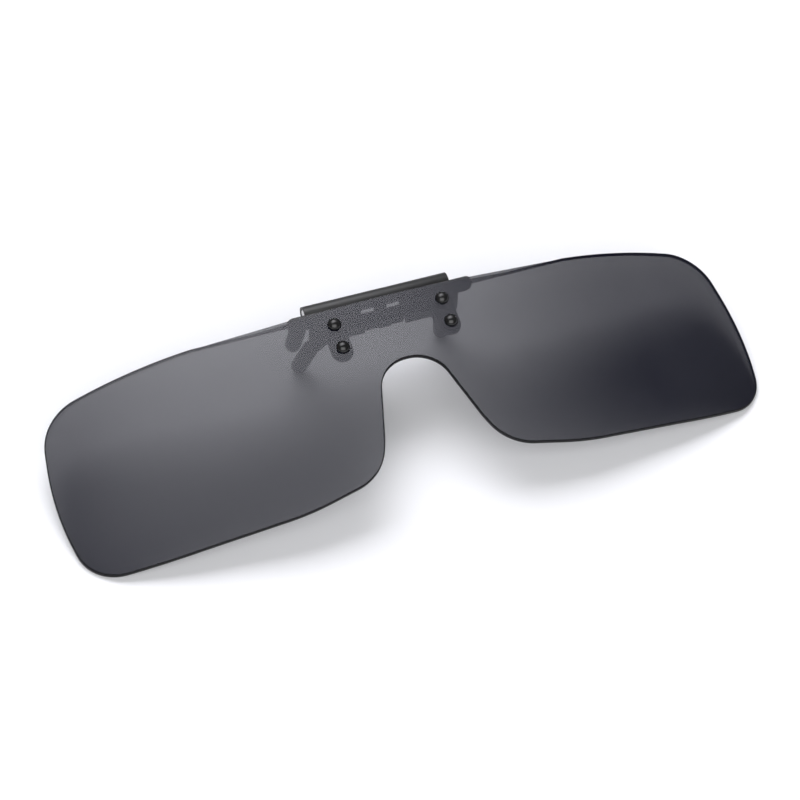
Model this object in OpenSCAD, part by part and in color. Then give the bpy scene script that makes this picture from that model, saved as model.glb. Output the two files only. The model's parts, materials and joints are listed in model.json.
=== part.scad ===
// Flip-up clip-on sunglasses: a one-piece wrapped shield lens on a sprung clamp.
//
// Every piece is drawn in the lens frame: X along the lens, Y up the lens, Z out of its
// front, with the origin on the front face between the upper rivets. at_rest() then tilts
// the whole thing so that the front prong tips and the two lower lens corners stand on Z = 0.

/* [Lens] */
// Height of the bottom edge below the upper rivets
lens_drop = 36.3; // [35.5:0.1:38]
// Height of the top edge above the upper rivets
lens_rise = 3.4; // [3.2:0.1:3.6]
// Half of the width of the lens, at the corner points of its side
lens_half_w = 71.8; // [69:0.1:74]
// Height of the bridge's lower edge below the upper rivets
bridge_drop = 10.7; // [10:0.1:11.5]
// Radius of the wrap of the front face, seen from above
wrap_r = 210; // [180:5:300]
// Thickness of the lens
lens_t = 1.0; // [0.8:0.1:1.2]

/* [Rivets] */
// Distance of each rivet column from the middle
rivet_x = 11.1; // [10.5:0.1:11.8]
// Distance from the upper to the lower rivets
rivet_pitch = 5.2; // [4.6:0.1:5.6]
// Radius of a domed rivet head
head_r = 1.35; // [1.1:0.05:1.5]
// Height of the dome
head_h = 0.85; // [0.5:0.05:1.1]
// Radius of a rivet shank
shank_r = 0.7; // [0.5:0.05:0.8]

/* [Lens bracket] */
// Thickness of the bracket's sheet
bracket_t = 0.7; // [0.6:0.1:0.8]
// Half of the width of the bracket
bracket_half_w = 13.6; // [13.3:0.1:14]
// Radius of the tabs round the lower rivets
tab_r = 2.15; // [1.9:0.05:2.3]

/* [Flip hinge] */
// Height of the flip axis above the upper rivets
flip_y = 0.85; // [0.8:0.05:0.9]
// Depth of the flip axis behind the lens front
flip_depth = 5.65; // [5.5:0.05:5.8]
// Radius of the flip pin
flip_pin_r = 0.5; // [0.4:0.05:0.5]
// Radius of the clamp's knuckles
clamp_knuckle_r = 0.9; // [0.85:0.05:0.95]
// How much larger in radius the bracket's middle knuckle is, and its outer ones again
knuckle_step = 0.2; // [0.1:0.05:0.2]

/* [Clamp] */
// Half of the width across the front jaw's ears
ear_half_w = 19.1; // [18.5:0.1:19.5]
// Half of the width of the front jaw below its ears
jaw_half_w = 14.6; // [14.2:0.1:14.8]
// Thickness of the front jaw's sheet
jaw_t = 0.8; // [0.6:0.1:0.9]
// Lean of the front jaw away from square to the lens
jaw_lean = 15.5; // [14.5:0.5:16.5]
// Height of the jaw pin above the upper rivets
pin_y = 6.1; // [6.0:0.05:6.2]
// Depth of the jaw pin behind the lens front
pin_depth = 5.6; // [5.5:0.1:5.7]
// Radius of the jaw pin
jaw_pin_r = 0.75; // [0.65:0.05:0.75]
// Radius of the jaw pin's heads
jaw_pin_head_r = 1.35; // [1.1:0.05:1.4]
// Outer radius of the rear jaw's rolled thumb hood
hood_r = 1.9; // [1.85:0.05:1.95]
// Half of the length of the hood
hood_half_w = 15.0; // [14.7:0.1:15.1]

/* [Prongs] */
// Radius of a rubber sleeve
sleeve_r = 1.6; // [1.4:0.05:1.65]
// Distance of a front prong's tip centre from the middle
front_tip_x = 15.2; // [14.9:0.1:15.5]
// Depth of a front prong's tip centre behind the lens front
front_tip_depth = 21; // [20.5:0.1:22]
// Distance of a rear prong's tip centre from the middle
rear_tip_x = 16.6; // [16.5:0.05:17]
// Depth of a rear prong's tip centre behind the lens front
rear_tip_depth = 14.1; // [13.8:0.1:15]

/* [Hidden] */
$fn = 48;
eps = 0.01;
LEFT = -1;
RIGHT = 1;

// Running clearance of a hinge bore over its pin
run = 0.05;

// ---- Lens outline: one half, from the top middle round to the bridge, as [x, y, radius]
half_outline = [
    [0, lens_rise, 0],
    [lens_half_w - 21.5, lens_rise + 0.8, 142],
    [lens_half_w - 2.8, lens_rise - 2, 9.5],
    [lens_half_w, -18, 60],
    [lens_half_w - 3, -lens_drop + 1.9, 8.8],
    [lens_half_w - 16.8, -lens_drop + 0.4, 145],
    [28, -lens_drop, 48],
    [12.7, -lens_drop + 3, 9.8],
    [9.9, -26.5, 31],
    [5.4, -bridge_drop, 6.8],
    [0, -bridge_drop, 0]
];
function unit(v) = v / norm(v);
// Arc that rounds corner p between its neighbours a and b
function corner(a, p, b, r, steps = 12) =
    let (
        u = unit([a.x - p.x, a.y - p.y]),
        w = unit([b.x - p.x, b.y - p.y]),
        half = acos(max(-1, min(1, u * w))) / 2,
        centre = [p.x, p.y] + unit(u + w) * r / sin(half),
        from = [p.x, p.y] + u * r / tan(half) - centre,
        to = [p.x, p.y] + w * r / tan(half) - centre,
        a0 = atan2(from.y, from.x),
        turn = atan2(from.x * to.y - from.y * to.x, from * to)
    )
    [for (i = [0:steps]) centre + r * [cos(a0 + turn * i / steps), sin(a0 + turn * i / steps)]];
last = len(half_outline) - 1;
right_side = [
    for (i = [1:last - 1])
        each corner(half_outline[i - 1], half_outline[i], half_outline[i + 1], half_outline[i].z)
];
left_side = [for (i = [len(right_side) - 1:-1:0]) [-right_side[i].x, right_side[i].y]];
outline = concat(right_side, left_side);

// Height of the back and front faces at a distance x from the middle
function front_z(x) = sqrt(wrap_r * wrap_r - x * x) - wrap_r;
function back_z(x) = sqrt((wrap_r - lens_t) * (wrap_r - lens_t) - x * x) - wrap_r;

// ---- Depths in the stack behind the lens, as Z
rivet_seat = front_z(rivet_x - head_r) + eps;
spacer_front = back_z(rivet_x + 1.7) - eps;
spacer_t = 0.22;
bracket_front = spacer_front - spacer_t;
bracket_back = bracket_front - bracket_t;

flip_z = -flip_depth;
pin_z = -pin_depth;
front_tip = [front_tip_x, 3.8, -front_tip_depth];
front_knee = [13.55, 2.85, -12.1];
rear_tip = [rear_tip_x, 5.25, -rear_tip_depth];
rear_knee = [15.9, 5.35, -8.1];
rear_root = [13.9, 5.4, -8.0];
front_sleeve_l = 8.2;
rear_sleeve_l = 5.1;
rear_sheet_t = 0.5;
// Width of the strip of sheet inside a sleeve
prong_w = 1.6;

// ---- Rest pose: the tilt at which outline point p and the prong tips touch the table together
function tilt_at(p) =
    let (rise = front_tip.y - p.y, fall = front_tip.z - back_z(p.x), reach = norm([rise, fall]))
    asin(sleeve_r / reach) - atan2(fall, rise);
rest_tilt = min([for (p = right_side) if (p.y < -20) tilt_at(p)]);
rest_z = sleeve_r - front_tip.y * sin(rest_tilt) - front_tip.z * cos(rest_tilt);
low_y = min([for (p = right_side) p.y * cos(rest_tilt) - front_z(p.x) * sin(rest_tilt)]);
high_y = front_tip.y * cos(rest_tilt) - front_tip.z * sin(rest_tilt) + sleeve_r;
rest_y = -(low_y + high_y) / 2;

module at_rest() {
    translate([0, rest_y, rest_z]) rotate([rest_tilt, 0, 0]) children();
}

// Cylinder along X from x0 to x1 about the axis through y, z
module x_rod(x0, x1, r, y, z) {
    translate([x0, y, z]) rotate([0, 90, 0]) cylinder(r = r, h = x1 - x0);
}

// Box between two opposite corners
module block(a, b) {
    translate([min(a.x, b.x), min(a.y, b.y), min(a.z, b.z)])
        cube([abs(b.x - a.x), abs(b.y - a.y), abs(b.z - a.z)]);
}

// Mirrors its children to the wanted side of the middle plane
module on_side(side) {
    mirror([side < 0 ? 1 : 0, 0, 0]) children();
}

// Turns local Z to point from a to b, keeping local X as near to X as it can be
module along(a, b) {
    v = b - a;
    translate(a) rotate([atan2(-v.y, v.z), 0, 0]) rotate([0, asin(v.x / norm(v)), 0]) children();
}

// Flat bar of sheet from a to b, with round ends in its own plane
module strip(a, b, width, t) {
    length = norm(b - a);
    along(a, b) {
        translate([-width / 2, -t / 2, 0]) cube([width, t, length]);
        for (z = [0, length])
            translate([0, 0, z]) rotate([90, 0, 0]) cylinder(r = width / 2, h = t, center = true);
    }
}

module rounded_rect(x0, x1, y0, y1, r) {
    translate([x0 + r, y0]) square([x1 - x0 - 2 * r, y1 - y0]);
    translate([x0, y0 + r]) square([x1 - x0, y1 - y0 - 2 * r]);
    for (x = [x0 + r, x1 - r], y = [y0 + r, y1 - r]) translate([x, y]) circle(r);
}

// ---- The lens and what is riveted to it
module wrap_cylinder(r, h) {
    translate([0, 0, -wrap_r]) rotate([90, 0, 0]) cylinder(r = r, h = h, center = true, $fn = 720);
}

module shield_lens() {
    wrap_depth = 18;
    color("dimgray", 0.6) at_rest() difference() {
        intersection() {
            translate([0, 0, -wrap_depth]) linear_extrude(wrap_depth + 1) polygon(outline);
            wrap_cylinder(wrap_r, 120);
        }
        wrap_cylinder(wrap_r - lens_t, 121);
        for (side = [LEFT, RIGHT], y = [0, -rivet_pitch])
            translate([side * rivet_x, y, -3]) cylinder(r = shank_r + run, h = 6);
    }
}

module rivet(side, y) {
    dome_r = (head_r * head_r + head_h * head_h) / (2 * head_h);
    rim = 0.15;
    upset_r = shank_r + 0.35;
    upset_h = 0.3;
    color("black") at_rest() translate([side * rivet_x, y, 0]) {
        intersection() {
            translate([0, 0, rivet_seat + rim + head_h - dome_r]) sphere(dome_r);
            translate([0, 0, rivet_seat + rim]) cylinder(r = head_r, h = head_h);
        }
        translate([0, 0, rivet_seat]) cylinder(r = head_r, h = rim);
        translate([0, 0, bracket_back]) cylinder(r = shank_r, h = rivet_seat - bracket_back);
        translate([0, 0, bracket_back - upset_h]) cylinder(r = upset_r, h = upset_h);
    }
}

module spacer(side, y) {
    color("gray") at_rest() translate([side * rivet_x, y, bracket_front]) difference() {
        cylinder(r = 1.7, h = spacer_t);
        translate([0, 0, -1]) cylinder(r = shank_r, h = 2);
    }
}

// Spans of the hinge knuckles along X
centre_knuckle = 1.2;
outer_knuckle = [4.4, 9.6];
clamp_knuckle = [1.35, 3.8];

// A knuckle of the bracket, on a leg that stands back from its plate
module bracket_knuckle(x0, x1, r) {
    block([x0, flip_y - r, flip_z], [x1, flip_y - r + bracket_t, bracket_back + eps]);
    x_rod(x0, x1, r, flip_y, flip_z);
}

module lens_bracket() {
    low = -1.0;
    top = 1.6;
    middle_r = clamp_knuckle_r + knuckle_step;
    outer_r = middle_r + knuckle_step;
    color("dimgray") at_rest() difference() {
        union() {
            translate([0, 0, bracket_back]) linear_extrude(bracket_t) {
                rounded_rect(-bracket_half_w, bracket_half_w, low, top, 0.8);
                for (side = [LEFT, RIGHT]) translate([side * rivet_x, 0]) {
                    translate([-tab_r, -rivet_pitch]) square([2 * tab_r, rivet_pitch]);
                    for (y = [0, -rivet_pitch]) translate([0, y]) circle(tab_r);
                }
            }
            bracket_knuckle(-centre_knuckle, centre_knuckle, middle_r);
            for (side = [LEFT, RIGHT]) on_side(side)
                bracket_knuckle(outer_knuckle[0], outer_knuckle[1], outer_r);
        }
        x_rod(-20, 20, flip_pin_r, flip_y, flip_z);
        for (side = [LEFT, RIGHT], y = [0, -rivet_pitch])
            translate([side * rivet_x, y, -4]) cylinder(r = shank_r, h = 4);
    }
}

module flip_pin() {
    head_t = 0.35;
    end = outer_knuckle[1];
    color("silver") at_rest() {
        x_rod(-end, end, flip_pin_r, flip_y, flip_z);
        for (x = [-end - head_t, end]) x_rod(x, x + head_t, flip_pin_r + 0.25, flip_y, flip_z);
    }
}

// Two fingers of spring sheet that press on the flats of the clamp's knuckles
module flip_detent_leaf() {
    t = 0.2;
    finger_w = 1.9;
    finger_x = (clamp_knuckle[0] + clamp_knuckle[1]) / 2;
    finger_end = flip_z + clamp_knuckle_r + 0.12 + finger_w / 2;
    color("silver") at_rest() {
        block([-3.6, 0.55, bracket_back - t], [3.6, 1.5, bracket_back]);
        for (side = [LEFT, RIGHT]) translate([side * finger_x, flip_y, 0]) {
            block([-finger_w / 2, -t / 2, finger_end], [finger_w / 2, t / 2, bracket_back - t / 2]);
            translate([0, 0, finger_end]) rotate([90, 0, 0])
                cylinder(r = finger_w / 2, h = t, center = true);
        }
    }
}

// ---- The clamp: front jaw, jaw pin and springs
jaw_centre = [0, 3.8, -3.9];

// The front jaw's sheet, in its own plane: X along it, Y up it
module jaw_sheet() {
    leg = [
        [8.4, -2.0], [jaw_half_w, -2.0], [jaw_half_w, -6.4], [14.2, -8.3],
        [12.9, -8.5], [11.0, -7.05], [9.9, -4.6]
    ];
    rounded_rect(-ear_half_w, ear_half_w, -1.65, 1.65, 1.3);
    rounded_rect(-jaw_half_w, jaw_half_w, -3.5, 1.65, 0.9);
    for (side = [LEFT, RIGHT]) mirror([side < 0 ? 1 : 0, 0]) polygon(leg);
}

module front_jaw() {
    flat = clamp_knuckle_r - 0.1;
    window = [[1.2, -1.75], [4.1, 0.75]];
    cheek = [12.2, 12.9];
    cheek_r = 1.3;
    strap_t = 0.6;
    leg_end = jaw_centre + [13.4, -7.4 * sin(jaw_lean), -7.4 * cos(jaw_lean)];
    color("#303032") at_rest() difference() {
        union() {
            translate(jaw_centre) rotate([90 - jaw_lean, 0, 0]) linear_extrude(jaw_t, center = true)
                difference() {
                    jaw_sheet();
                    for (side = [LEFT, RIGHT]) mirror([side < 0 ? 1 : 0, 0])
                        translate(window[0]) square(window[1] - window[0]);
                }
            for (side = [LEFT, RIGHT]) on_side(side) {
                x_rod(clamp_knuckle[0], clamp_knuckle[1], clamp_knuckle_r, flip_y, flip_z);
                block([clamp_knuckle[0], flip_y, flip_z - clamp_knuckle_r],
                      [clamp_knuckle[1], 3.1, flip_z - clamp_knuckle_r + strap_t]);
                x_rod(cheek[0], cheek[1], cheek_r, pin_y, pin_z);
                block([cheek[0], 3.3, pin_z - 1.0], [cheek[1], pin_y, pin_z + 0.5]);
                strip(leg_end, front_knee, prong_w + 0.2, jaw_t + 0.1);
                strip(front_knee, front_tip, prong_w, jaw_t);
            }
        }
        x_rod(-11, 11, flip_pin_r + run, flip_y, flip_z);
        x_rod(-20, 20, jaw_pin_r, pin_y, pin_z);
        block([-4.2, flip_y - 1.5, flip_z + flat], [4.2, flip_y + 1.0, flip_z + 2]);
        block([-4.2, flip_y - 2, flip_z - 1.5], [4.2, flip_y - flat, flip_z + 2]);
    }
}

module jaw_pin() {
    end = 14.9;
    head_l = 0.85;
    color("silver") at_rest() {
        x_rod(-end, end, jaw_pin_r, pin_y, pin_z);
        for (x = [-end, end - head_l]) x_rod(x, x + head_l, jaw_pin_head_r, pin_y, pin_z);
    }
}

// Torsion spring: one tube swept along a helix, with a straight leg at each end
module jaw_spring(side) {
    wire_r = 0.17;
    coil_r = 1.05;
    turns = 8;
    steps = 12;
    sides = 6;
    x0 = 7.0;
    pitch = 0.45;
    front_leg = 2.4;
    hood_leg = 0.6;
    coil = [
        for (i = [0:turns * steps])
            let (a = 180 + 360 * i / steps)
            [x0 + pitch * i / steps, coil_r * sin(a), coil_r * cos(a)]
    ];
    end_i = len(coil) - 1;
    path = concat([coil[0] - [0, front_leg, 0]], coil, [coil[end_i] + [0, hood_leg, 0]]);
    rings = [
        for (i = [0:len(path) - 1])
            let (
                t = unit(path[min(i + 1, len(path) - 1)] - path[max(i - 1, 0)]),
                n = unit(cross(t, [1, 0, 0])),
                b = cross(t, n)
            )
            [for (k = [0:sides - 1]) path[i] + wire_r * (n * cos(360 * k / sides) + b * sin(360 * k / sides))]
    ];
    faces = concat(
        [[for (k = [0:sides - 1]) k]],
        [for (i = [0:len(path) - 2], k = [0:sides - 1])
            let (a = i * sides + k, b = i * sides + (k + 1) % sides)
            [a, a + sides, b + sides, b]],
        [[for (k = [sides - 1:-1:0]) (len(path) - 1) * sides + k]]
    );
    color("silver") at_rest() translate([0, pin_y, pin_z]) on_side(side)
        polyhedron([for (ring = rings) each ring], faces);
}

// Rubber sleeve pushed over the last stretch of a prong, with a round tip
module sleeve(side, knee, tip, length, core_t) {
    color("#1c1c1e") at_rest() on_side(side) difference() {
        union() {
            along(tip, knee) cylinder(r = sleeve_r, h = length);
            translate(tip) sphere(sleeve_r);
        }
        strip(knee, tip, prong_w, core_t);
    }
}

// ---- The rear jaw: a rolled thumb hood with two bent arms
module rear_jaw() {
    sheet_t = 0.4;
    ear = [13.2, 13.9];
    ear_r = hood_r - 0.1;
    hood_front = 125;
    hood_back = -78;
    big = 3 * hood_r;
    color("#303032") at_rest() difference() {
        union() {
            translate([0, pin_y, pin_z]) difference() {
                x_rod(-hood_half_w, hood_half_w, hood_r, 0, 0);
                x_rod(-20, 20, hood_r - sheet_t, 0, 0);
                rotate([hood_front, 0, 0]) block([-20, 0, 0], [20, big, big]);
                rotate([hood_back - 90, 0, 0]) block([-20, 0, 0], [20, big, big]);
            }
            for (side = [LEFT, RIGHT]) on_side(side) {
                x_rod(ear[0], ear[1], ear_r, pin_y, pin_z);
                block([ear[0], rear_root.y - 0.3, rear_root.z - 0.8], [ear[1], pin_y + 0.6, pin_z]);
                strip(rear_root, rear_knee, prong_w, rear_sheet_t);
                strip(rear_knee, rear_tip, prong_w, rear_sheet_t);
            }
        }
        x_rod(-20, 20, jaw_pin_r + run, pin_y, pin_z);
    }
}

shield_lens();
rivet(LEFT, 0);  // rivet_upper_left
rivet(RIGHT, 0);  // rivet_upper_right
rivet(LEFT, -rivet_pitch);  // rivet_lower_left
rivet(RIGHT, -rivet_pitch);  // rivet_lower_right
spacer(LEFT, 0);  // spacer_upper_left
spacer(RIGHT, 0);  // spacer_upper_right
spacer(LEFT, -rivet_pitch);  // spacer_lower_left
spacer(RIGHT, -rivet_pitch);  // spacer_lower_right
lens_bracket();
flip_pin();
flip_detent_leaf();
front_jaw();
jaw_pin();
jaw_spring(LEFT);  // jaw_spring_left
jaw_spring(RIGHT);  // jaw_spring_right
sleeve(LEFT, front_knee, front_tip, front_sleeve_l, jaw_t);  // front_sleeve_left
sleeve(RIGHT, front_knee, front_tip, front_sleeve_l, jaw_t);  // front_sleeve_right
rear_jaw();
sleeve(LEFT, rear_knee, rear_tip, rear_sleeve_l, rear_sheet_t);  // rear_sleeve_left
sleeve(RIGHT, rear_knee, rear_tip, rear_sleeve_l, rear_sheet_t);  // rear_sleeve_right
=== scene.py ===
"""Flip-up clip-on sunglasses: the looks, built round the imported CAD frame.

The sizes of the design are in millimetres, and MM turns them into Blender's metres.
The studio at the end is in metres.
The lens frame is X along the lens, Y up the lens and Z out of its front face.
"""

import json
import math

import bmesh
import bpy
import numpy as np
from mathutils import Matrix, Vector
from mathutils.geometry import delaunay_2d_cdt


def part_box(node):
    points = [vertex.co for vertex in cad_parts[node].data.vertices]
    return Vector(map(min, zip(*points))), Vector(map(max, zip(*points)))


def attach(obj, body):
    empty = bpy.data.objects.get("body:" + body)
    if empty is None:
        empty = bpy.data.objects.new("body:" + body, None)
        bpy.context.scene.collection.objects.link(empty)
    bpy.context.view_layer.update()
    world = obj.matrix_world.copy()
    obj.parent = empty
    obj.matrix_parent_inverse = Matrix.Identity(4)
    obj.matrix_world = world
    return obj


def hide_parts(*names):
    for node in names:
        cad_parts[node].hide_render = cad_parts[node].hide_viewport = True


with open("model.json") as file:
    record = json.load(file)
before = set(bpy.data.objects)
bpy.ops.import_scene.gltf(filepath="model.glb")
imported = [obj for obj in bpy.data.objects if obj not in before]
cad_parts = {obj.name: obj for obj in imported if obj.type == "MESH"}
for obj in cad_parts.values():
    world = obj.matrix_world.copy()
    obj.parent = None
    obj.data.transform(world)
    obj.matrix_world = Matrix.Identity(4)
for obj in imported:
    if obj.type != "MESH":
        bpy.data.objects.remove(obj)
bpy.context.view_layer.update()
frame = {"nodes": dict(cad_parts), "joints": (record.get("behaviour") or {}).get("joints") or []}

MM = 0.001
LEFT, RIGHT = -1, 1

# ---- Sizes of the design, in the lens frame
LENS_DROP = 36.3
LENS_RISE = 3.4
LENS_HALF_W = 71.8
BRIDGE_DROP = 10.7
WRAP_R = 210.0
LENS_T = 1.0
LENS_EDGE_R = 0.2
RIVET_X = 11.1
RIVET_PITCH = 5.2
RIVET_HOLE_R = 0.75
FLIP_Y = 0.85
FLIP_Z = -5.65
PIN_Y = 6.1
PIN_Z = -5.6
SPRING_COIL_R = 1.05
SPRING_WIRE_R = 0.17
SPRING_TURNS = 8
SPRING_PITCH = 0.45
SPRING_START_X = 7.0
SPRING_FRONT_LEG = 2.4
SPRING_HOOD_LEG = 0.6

# ---- Fineness of the meshes
CORNER_STEPS = 24
HOLE_STEPS = 24
FILL_STEP_X = 1.5
FILL_STEP_Y = 3.0
FILL_MARGIN = 0.5
WIRE_SIDES = 12
COIL_STEPS = 36
SAME_POINT_M = 1e-7
FLAT_ANGLE = math.radians(0.4)


# ---- The lens frame's place, from two rivets and the flip joint
def middle(node):
    low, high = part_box(node)
    return (low + high) / 2


up = (middle("rivet_upper_left") - middle("rivet_lower_left")).normalized()
out = Vector((1, 0, 0)).cross(up)
flip_joint = next(j for j in frame["joints"] if j["name"] == "shade_flip")
origin = Vector(flip_joint["pos_m"]) - (up * FLIP_Y + out * FLIP_Z) * MM


def place(x, y, z):
    """A point of the lens frame, given in millimetres, as a world point in metres."""
    return origin + (Vector((x, 0, 0)) + up * y + out * z) * MM


def turn(x, y, z):
    """A direction of the lens frame as a world direction."""
    return Vector((x, 0, 0)) + up * y + out * z


# ---- Materials
def new_material(name):
    material = bpy.data.materials.new(name)
    material.use_nodes = True
    nodes = material.node_tree.nodes
    shader = nodes["Principled BSDF"]
    return material, nodes, material.node_tree.links, shader


def noise(nodes, links, scale, detail=4.0, stretch=(1, 1, 1)):
    """Noise fixed to the piece, with scale in grains a metre."""
    where = nodes.new("ShaderNodeTexCoord")
    mapping = nodes.new("ShaderNodeMapping")
    mapping.inputs["Scale"].default_value = stretch
    texture = nodes.new("ShaderNodeTexNoise")
    texture.inputs["Scale"].default_value = scale
    texture.inputs["Detail"].default_value = detail
    links.new(where.outputs["Object"], mapping.inputs["Vector"])
    links.new(mapping.outputs["Vector"], texture.inputs["Vector"])
    return texture.outputs["Fac"]


def spread(nodes, links, value, low, high):
    """Maps the middle of a noise onto the range from low to high."""
    ranged = nodes.new("ShaderNodeMapRange")
    ranged.inputs["From Min"].default_value = 0.3
    ranged.inputs["From Max"].default_value = 0.7
    ranged.inputs["To Min"].default_value = low
    ranged.inputs["To Max"].default_value = high
    links.new(value, ranged.inputs["Value"])
    return ranged.outputs["Result"]


def tint(nodes, links, value, dark, light):
    ramp = nodes.new("ShaderNodeValToRGB")
    ramp.color_ramp.elements[0].position = 0.3
    ramp.color_ramp.elements[1].position = 0.7
    ramp.color_ramp.elements[0].color = (*dark, 1)
    ramp.color_ramp.elements[1].color = (*light, 1)
    links.new(value, ramp.inputs["Fac"])
    return ramp.outputs["Color"]


def bump(nodes, links, shader, height, strength, distance):
    bumped = nodes.new("ShaderNodeBump")
    bumped.inputs["Strength"].default_value = strength
    bumped.inputs["Distance"].default_value = distance
    links.new(height, bumped.inputs["Height"])
    links.new(bumped.outputs["Normal"], shader.inputs["Normal"])


def worn_surface(
    name, dark, light, rough, metallic=0.0, grain=3000.0, height=0.000004, stretch=(1, 1, 1)
):
    """An opaque finish whose colour, gloss and relief all vary with a fine grain."""
    material, nodes, links, shader = new_material(name)
    coarse = noise(nodes, links, grain / 8, stretch=stretch)
    fine = noise(nodes, links, grain, stretch=stretch)
    links.new(tint(nodes, links, coarse, dark, light), shader.inputs["Base Color"])
    links.new(spread(nodes, links, coarse, *rough), shader.inputs["Roughness"])
    shader.inputs["Metallic"].default_value = metallic
    bump(nodes, links, shader, fine, 0.5, height)
    return material


LENS_ALPHA_MIDDLE = 0.625
# painted shade: the alpha at the lens ends is higher than in the middle, so the ends look darker
LENS_ALPHA_END_SHADE = 0.735
LENS_SPECULAR = 0.34
LENS_EDGE_SPECULAR = 0.12


def lens_tint():
    """Smoke plastic: each face lets about a third of the light through, and less towards the ends, where the
    rising alpha is a painted shade that darkens both ends.
    """
    material, nodes, links, shader = new_material("smoke_lens")
    clouds = noise(nodes, links, 30.0, detail=2.0)
    colour = tint(nodes, links, clouds, (0.0045, 0.005, 0.013), (0.006, 0.0065, 0.016))
    links.new(colour, shader.inputs["Base Color"])
    links.new(spread(nodes, links, clouds, 0.10, 0.13), shader.inputs["Roughness"])
    where = nodes.new("ShaderNodeTexCoord")
    parts = nodes.new("ShaderNodeSeparateXYZ")
    links.new(where.outputs["Object"], parts.inputs["Vector"])
    square = nodes.new("ShaderNodeMath")
    square.operation = "MULTIPLY"
    links.new(parts.outputs["X"], square.inputs[0])
    links.new(parts.outputs["X"], square.inputs[1])
    # painted shade: the alpha grows with X squared from the middle to the ends, darkening the lens ends
    painted_end_shade = nodes.new("ShaderNodeMapRange")
    painted_end_shade.inputs["From Max"].default_value = (LENS_HALF_W * MM) ** 2
    painted_end_shade.inputs["To Min"].default_value = LENS_ALPHA_MIDDLE
    painted_end_shade.inputs["To Max"].default_value = LENS_ALPHA_END_SHADE
    links.new(square.outputs["Value"], painted_end_shade.inputs["Value"])
    links.new(painted_end_shade.outputs["Result"], shader.inputs["Alpha"])
    shader.inputs["Specular IOR Level"].default_value = LENS_SPECULAR
    shader.inputs["IOR"].default_value = 1.6
    shader.inputs["Specular Tint"].default_value = (0.98, 0.98, 1.0, 1)
    return material


def lens_edge():
    """Polished cut edge, which looks nearly black because light is trapped in the sheet."""
    material, nodes, links, shader = new_material("smoke_lens_edge")
    clouds = noise(nodes, links, 400.0)
    colour = tint(nodes, links, clouds, (0.003, 0.003, 0.004), (0.008, 0.008, 0.009))
    links.new(colour, shader.inputs["Base Color"])
    links.new(spread(nodes, links, clouds, 0.35, 0.5), shader.inputs["Roughness"])
    shader.inputs["Specular IOR Level"].default_value = LENS_EDGE_SPECULAR
    return material


black_sheet = worn_surface("satin_black_sheet", (0.014, 0.014, 0.0145), (0.020, 0.020, 0.0205), (0.40, 0.50))
gloss_black = worn_surface("gloss_black_plating", (0.004, 0.004, 0.004), (0.008, 0.008, 0.008), (0.20, 0.30),
                           grain=2000.0, height=0.000001)
black_rubber = worn_surface("satin_black_rubber", (0.018, 0.018, 0.018), (0.030, 0.030, 0.030), (0.40, 0.52),
                            grain=1200.0, height=0.000002)
bare_steel = worn_surface("drawn_steel", (0.52, 0.52, 0.53), (0.72, 0.72, 0.72), (0.22, 0.36),
                          metallic=1.0, grain=3000.0, height=0.000002, stretch=(0.15, 1, 1))
nylon = worn_surface("smoke_nylon", (0.05, 0.05, 0.055), (0.09, 0.09, 0.095), (0.35, 0.5))
smoke_lens = lens_tint()
smoke_edge = lens_edge()


# ---- Pieces
def add_piece(name, mesh, body, slot, *replaced):
    piece = bpy.data.objects.new(name, mesh)
    bpy.context.scene.collection.objects.link(piece)
    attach(piece, body)
    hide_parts(*replaced)
    return piece


def round_corner(a, p, b, radius, steps=CORNER_STEPS):
    """Points of the arc that rounds corner p between its neighbours a and b."""
    a, p, b = (Vector(v[:2]) for v in (a, p, b))
    u, w = (a - p).normalized(), (b - p).normalized()
    half = math.acos(max(-1.0, min(1.0, u.dot(w)))) / 2
    centre = p + (u + w).normalized() * radius / math.sin(half)
    first = p + u * radius / math.tan(half) - centre
    final = p + w * radius / math.tan(half) - centre
    start = math.atan2(first.y, first.x)
    sweep = math.atan2(first.cross(final), first.dot(final))
    return [
        centre + radius * Vector((math.cos(start + sweep * i / steps), math.sin(start + sweep * i / steps)))
        for i in range(steps + 1)
    ]


def lens_outline():
    """The closed outline, clockwise from the top right, as points in the lens frame."""
    corners = [
        (0, LENS_RISE, 0),
        (LENS_HALF_W - 21.5, LENS_RISE + 0.8, 142),
        (LENS_HALF_W - 2.8, LENS_RISE - 2, 9.5),
        (LENS_HALF_W, -18, 60),
        (LENS_HALF_W - 3, -LENS_DROP + 1.9, 8.8),
        (LENS_HALF_W - 16.8, -LENS_DROP + 0.4, 145),
        (28, -LENS_DROP, 48),
        (12.7, -LENS_DROP + 3, 9.8),
        (9.9, -26.5, 31),
        (5.4, -BRIDGE_DROP, 6.8),
        (0, -BRIDGE_DROP, 0),
    ]
    side = []
    for i in range(1, len(corners) - 1):
        side += round_corner(corners[i - 1], corners[i], corners[i + 1], corners[i][2])
    return side + [Vector((-p.x, p.y)) for p in reversed(side)]


def outline_normals(points):
    """Outward directions of a clockwise outline."""
    count = len(points)
    result = []
    for i in range(count):
        along = points[(i + 1) % count] - points[i - 1]
        result.append(Vector((-along.y, along.x)).normalized())
    return result


def wrap_z(x, radius):
    """Height of a wrapped face of that radius at a distance x from the middle."""
    return math.sqrt(radius * radius - x * x) - WRAP_R


def inside(p, outline):
    """True if p is inside the closed outline."""
    hit = False
    for i in range(len(outline)):
        a, b = outline[i], outline[i - 1]
        if (a.y > p.y) != (b.y > p.y) and p.x < (b.x - a.x) * (p.y - a.y) / (b.y - a.y) + a.x:
            hit = not hit
    return hit


def in_a_hole(p, holes, reach):
    """True if p is less than reach from the middle of a hole."""
    return any((p - sum(hole, Vector((0, 0))) / len(hole)).length < reach for hole in holes)


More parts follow.
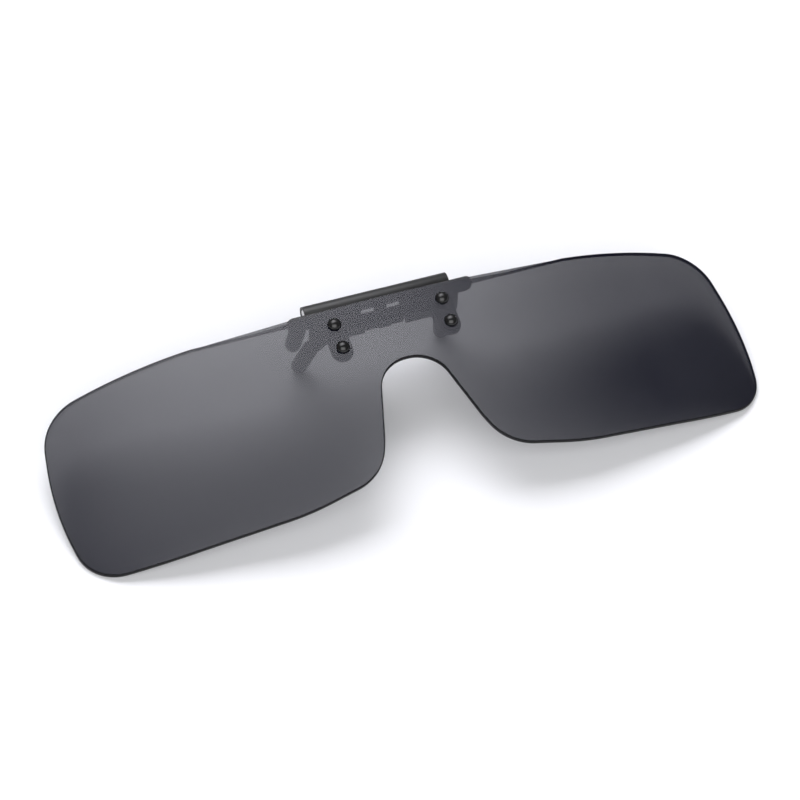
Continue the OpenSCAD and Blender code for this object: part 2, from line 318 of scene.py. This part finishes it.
def lens_fill(rim, holes):
    """Points and triangles that fill the rim, with a grid inside and the round holes left open."""
    points = [p.copy() for p in rim]
    edges = [(i, (i + 1) % len(rim)) for i in range(len(rim))]
    for hole in holes:
        first = len(points)
        points += [p.copy() for p in hole]
        edges += [(first + i, first + (i + 1) % len(hole)) for i in range(len(hole))]
    ring = np.array(rim)
    columns = int(LENS_HALF_W / FILL_STEP_X)
    for i in range(-columns, columns + 1):
        y = LENS_RISE
        while y > -LENS_DROP:
            p = Vector((i * FILL_STEP_X, y))
            clear_of_rim = np.hypot(*(ring - np.array(p)).T).min() > FILL_MARGIN
            clear_of_holes = not in_a_hole(p, holes, RIVET_HOLE_R + FILL_MARGIN)
            if clear_of_holes and clear_of_rim and inside(p, rim):
                points.append(p)
            y -= FILL_STEP_Y
    vertices, _, faces, _, _, _ = delaunay_2d_cdt(points, edges, [], 0, 1e-6)
    assert len(vertices) == len(points)
    kept = []
    for face in faces:
        centre = sum((vertices[i] for i in face), Vector((0, 0))) / len(face)
        if inside(centre, rim) and not in_a_hole(centre, holes, RIVET_HOLE_R * 0.98):
            kept.append(tuple(face))
    return vertices, kept


def shield_lens():
    """Wrapped lens with a rounded, polished edge and four open rivet holes."""
    outline = lens_outline()
    outward = outline_normals(outline)
    holes = [
        [
            Vector((side * RIVET_X + RIVET_HOLE_R * math.cos(a), y + RIVET_HOLE_R * math.sin(a)))
            for a in (2 * math.pi * k / HOLE_STEPS for k in range(HOLE_STEPS))
        ]
        for side in (LEFT, RIGHT)
        for y in (0, -RIVET_PITCH)
    ]
    rim = [p - n * LENS_EDGE_R for p, n in zip(outline, outward)]
    flat, triangles = lens_fill(rim, holes)
    bm = bmesh.new()
    normals = []

    def wrap_normal(x, sign):
        return turn(x / WRAP_R, 0, math.sqrt(1 - (x / WRAP_R) ** 2)) * sign

    def add(p, z, normal):
        normals.append(normal.normalized())
        return bm.verts.new(place(p.x, p.y, z))

    back_r = WRAP_R - LENS_T
    front = [add(p, wrap_z(p.x, WRAP_R), wrap_normal(p.x, 1)) for p in flat]
    back = [add(p, wrap_z(p.x, back_r), wrap_normal(p.x, -1)) for p in flat]
    for a, b, c in triangles:
        flipped = (flat[b] - flat[a]).cross(flat[c] - flat[a]) < 0
        a, b, c = (a, c, b) if flipped else (a, b, c)
        bm.faces.new((front[a], front[b], front[c]))
        bm.faces.new((back[a], back[c], back[b]))
    # the rim: from the front face round to the back face
    arc = [(math.radians(a), 1) for a in (30, 60, 90)] + [(math.radians(a), -1) for a in (90, 60, 30)]
    loops = [front[: len(rim)]]
    for angle, sign in arc:
        loop = []
        for p, n in zip(outline, outward):
            at = p - n * LENS_EDGE_R * (1 - math.sin(angle))
            face_z = wrap_z(at.x, WRAP_R if sign > 0 else back_r)
            z = face_z - sign * LENS_EDGE_R * (1 - math.cos(angle))
            normal = turn(n.x, n.y, 0) * math.sin(angle) + wrap_normal(at.x, sign) * math.cos(angle)
            loop.append(add(at, z, normal))
        loops.append(loop)
    loops.append(back[: len(rim)])
    edge_faces = []
    for upper, lower in zip(loops, loops[1:]):
        for i in range(len(rim)):
            j = (i + 1) % len(rim)
            edge_faces.append(bm.faces.new((upper[i], upper[j], lower[j], lower[i])))
    first = len(rim)
    for hole in holes:
        for i in range(HOLE_STEPS):
            j = (i + 1) % HOLE_STEPS
            wall = (front[first + j], front[first + i], back[first + i], back[first + j])
            edge_faces.append(bm.faces.new(wall))
        first += HOLE_STEPS
    for face in edge_faces:
        face.material_index = 1
    for face in bm.faces:
        face.smooth = True
    mesh = bpy.data.meshes.new("shield_lens_visual")
    bm.to_mesh(mesh)
    bm.free()
    mesh.normals_split_custom_set_from_vertices(normals)
    mesh.materials.append(smoke_lens)
    mesh.materials.append(smoke_edge)
    return add_piece("wrapped_lens", mesh, "shade", "tinted_lens", "shield_lens")


def refined(node, body, slot, material, edge, turn_limit=35):
    """A copy of a CAD node with its sharp edges broken by small rounds."""
    bm = bmesh.new()
    bm.from_mesh(frame["nodes"][node].data)
    bmesh.ops.remove_doubles(bm, verts=bm.verts, dist=SAME_POINT_M)
    bmesh.ops.dissolve_limit(bm, angle_limit=FLAT_ANGLE, verts=bm.verts, edges=bm.edges)
    limit = math.radians(turn_limit)
    sharp = [e for e in bm.edges if e.is_manifold and abs(e.calc_face_angle(0)) > limit]
    bmesh.ops.bevel(
        bm, geom=sharp, offset=edge * MM, segments=2, profile=0.5, affect="EDGES", clamp_overlap=True
    )
    bmesh.ops.triangulate(bm, faces=[f for f in bm.faces if len(f.verts) > 4])
    bmesh.ops.recalc_face_normals(bm, faces=bm.faces)
    for face in bm.faces:
        face.smooth = True
    for e in bm.edges:
        e.smooth = not (e.is_manifold and abs(e.calc_face_angle(0)) > limit)
    mesh = bpy.data.meshes.new(node + "_visual")
    bm.to_mesh(mesh)
    bm.free()
    mesh.materials.append(material)
    return add_piece(node + "_shape", mesh, body, slot, node)


def jaw_spring(side, node):
    """Torsion spring of round wire, wound along the jaw pin, with a straight leg at each end."""
    path = []
    for i in range(SPRING_TURNS * COIL_STEPS + 1):
        a = math.pi + 2 * math.pi * i / COIL_STEPS
        x = SPRING_START_X + SPRING_PITCH * i / COIL_STEPS
        path.append(Vector((x, SPRING_COIL_R * math.sin(a), SPRING_COIL_R * math.cos(a))))
    bend = [Vector((0, -t * SPRING_FRONT_LEG, 0)) for t in (1, 0.5, 0.08)]
    tail = [Vector((0, t * SPRING_HOOD_LEG, 0)) for t in (0.2, 0.6, 1)]
    path = [path[0] + d for d in bend] + path + [path[-1] + d for d in tail]
    bm = bmesh.new()
    rings = []
    for i, p in enumerate(path):
        along = (path[min(i + 1, len(path) - 1)] - path[max(i - 1, 0)]).normalized()
        n = along.cross(Vector((1, 0, 0))).normalized()
        b = along.cross(n)
        ring = []
        for k in range(WIRE_SIDES):
            a = 2 * math.pi * k / WIRE_SIDES
            q = p + (n * math.cos(a) + b * math.sin(a)) * SPRING_WIRE_R
            ring.append(bm.verts.new(place(side * q.x, PIN_Y + q.y, PIN_Z + q.z)))
        rings.append(ring)
    for one, two in zip(rings, rings[1:]):
        for k in range(WIRE_SIDES):
            m = (k + 1) % WIRE_SIDES
            bm.faces.new((one[k], one[m], two[m], two[k])).smooth = True
    bm.faces.new(rings[0])
    bm.faces.new(list(reversed(rings[-1])))
    bmesh.ops.recalc_face_normals(bm, faces=bm.faces)
    mesh = bpy.data.meshes.new(node + "_visual")
    bm.to_mesh(mesh)
    bm.free()
    mesh.materials.append(bare_steel)
    return add_piece(node + "_wire", mesh, "clamp", "bare_steel", node)


shield_lens()
for height in ("upper", "lower"):
    for side in ("left", "right"):
        refined(f"rivet_{height}_{side}", "shade", "rivet_black", gloss_black, 0.05, turn_limit=50)
        spacer = frame["nodes"][f"spacer_{height}_{side}"].data
        spacer.materials.clear()
        spacer.materials.append(nylon)
refined("lens_bracket", "shade", "black_sheet", black_sheet, 0.10)
refined("front_jaw", "clamp", "black_sheet", black_sheet, 0.10)
refined("rear_jaw", "rear_clamp", "black_sheet", black_sheet, 0.08)
for side in ("left", "right"):
    refined(f"front_sleeve_{side}", "clamp", "black_rubber", black_rubber, 0.25)
    refined(f"rear_sleeve_{side}", "rear_clamp", "black_rubber", black_rubber, 0.25)
for node in ("flip_pin", "jaw_pin"):
    body = "shade" if node == "flip_pin" else "clamp"
    refined(node, body, "bare_steel", bare_steel, 0.12)
refined("flip_detent_leaf", "shade", "bare_steel", bare_steel, 0.03)
jaw_spring(LEFT, "jaw_spring_left")
jaw_spring(RIGHT, "jaw_spring_right")


# ---- Floor, light and camera, in metres
FLOOR_SIZE = 8.0
SOFTBOX_HEIGHT = 1.0
SOFTBOX_X = (-1.2, 1.1)
SOFTBOX_Y = (-0.05, 1.15)
SOFTBOX_MIDDLE_X = -0.04
SOFTBOX_SIDE = 0.58
SOFTBOX_NEAR = (0.0, 0.22)
SOFTBOX_GLOW = 4.4
FILL_AT = (-0.35, -1.1, 0.95)
FILL_SIZE = (1.8, 1.2)
FILL_WATTS = 19.0
WORLD_GLOW = 0.2
CAMERA_AT = (-0.12359, -0.30385, 0.35185)
CAMERA_TURN = (43.556, -1.230, -20.563)
CAMERA_LENS = 110.2


def staged(name, corners):
    """A flat four-cornered piece of the studio."""
    mesh = bpy.data.meshes.new(name)
    mesh.from_pydata(corners, [], [(0, 1, 2, 3)])
    thing = bpy.data.objects.new(name, mesh)
    bpy.context.scene.collection.objects.link(thing)
    return thing


def floor():
    x = FLOOR_SIZE / 2
    thing = staged("floor", [(-x, -x, 0), (x, -x, 0), (x, x, 0), (-x, x, 0)])
    material, nodes, links, shader = new_material("pale_table")
    mottle = noise(nodes, links, 60.0)
    colour = tint(nodes, links, mottle, (0.90, 0.905, 0.925), (0.91, 0.915, 0.935))
    links.new(colour, shader.inputs["Base Color"])
    shader.inputs["Roughness"].default_value = 0.8
    shader.inputs["Specular IOR Level"].default_value = 0.1
    thing.data.materials.append(material)


def area_light(name, at, aim, size, watts):
    data = bpy.data.lights.new(name, "AREA")
    data.shape = "RECTANGLE"
    data.size, data.size_y = size
    data.energy = watts
    lamp = bpy.data.objects.new(name, data)
    lamp.location = at
    lamp.rotation_euler = (Vector(aim) - Vector(at)).to_track_quat("-Z", "Y").to_euler()
    bpy.context.scene.collection.objects.link(lamp)


def math_node(nodes, links, operation, value, other=None):
    node = nodes.new("ShaderNodeMath")
    node.operation = operation
    links.new(value, node.inputs[0])
    if other is not None:
        node.inputs[1].default_value = other
    return node.outputs["Value"]


def softbox():
    """Overhead light behind the object: bright in the middle, fading to its sides and its near edge."""
    (x0, x1), (y0, y1), z = SOFTBOX_X, SOFTBOX_Y, SOFTBOX_HEIGHT
    thing = staged("softbox", [(x0, y0, z), (x0, y1, z), (x1, y1, z), (x1, y0, z)])
    material = bpy.data.materials.new("softbox_glow")
    material.use_nodes = True
    nodes, links = material.node_tree.nodes, material.node_tree.links
    nodes.clear()
    where = nodes.new("ShaderNodeTexCoord")
    parts = nodes.new("ShaderNodeSeparateXYZ")
    links.new(where.outputs["Object"], parts.inputs["Vector"])
    across = math_node(nodes, links, "SUBTRACT", parts.outputs["X"], SOFTBOX_MIDDLE_X)
    aside = math_node(nodes, links, "ABSOLUTE", across)
    share = math_node(nodes, links, "DIVIDE", aside, SOFTBOX_SIDE)
    falling = math_node(nodes, links, "POWER", share, 2.5)
    negative = math_node(nodes, links, "MULTIPLY", falling, -1.0)
    sideways = math_node(nodes, links, "EXPONENT", negative)
    near = nodes.new("ShaderNodeMapRange")
    near.interpolation_type = "SMOOTHSTEP"
    near.inputs["From Min"].default_value = SOFTBOX_NEAR[0]
    near.inputs["From Max"].default_value = SOFTBOX_NEAR[1]
    links.new(parts.outputs["Y"], near.inputs["Value"])
    product = nodes.new("ShaderNodeMath")
    product.operation = "MULTIPLY"
    links.new(sideways, product.inputs[0])
    links.new(near.outputs["Result"], product.inputs[1])
    glow = nodes.new("ShaderNodeEmission")
    glow.inputs["Color"].default_value = (1.0, 1.0, 1.04, 1)
    strength = math_node(nodes, links, "MULTIPLY", product.outputs["Value"], SOFTBOX_GLOW)
    links.new(strength, glow.inputs["Strength"])
    result = nodes.new("ShaderNodeOutputMaterial")
    links.new(glow.outputs["Emission"], result.inputs["Surface"])
    thing.data.materials.append(material)


floor()
softbox()
area_light("front_fill", FILL_AT, (0, 0, 0), FILL_SIZE, FILL_WATTS)

world = bpy.data.worlds.new("studio")
world.use_nodes = True
world.node_tree.nodes["Background"].inputs["Color"].default_value = (1, 1, 1, 1)
world.node_tree.nodes["Background"].inputs["Strength"].default_value = WORLD_GLOW
bpy.context.scene.world = world
bpy.context.scene.view_settings.view_transform = "Standard"

camera_data = bpy.data.cameras.new("camera")
camera_data.sensor_width = 36.0
camera_data.lens = CAMERA_LENS
camera_data.clip_start = 0.01
camera = bpy.data.objects.new("camera", camera_data)
camera.location = CAMERA_AT
camera.rotation_euler = [math.radians(a) for a in CAMERA_TURN]
bpy.context.scene.collection.objects.link(camera)
bpy.context.scene.camera = camera
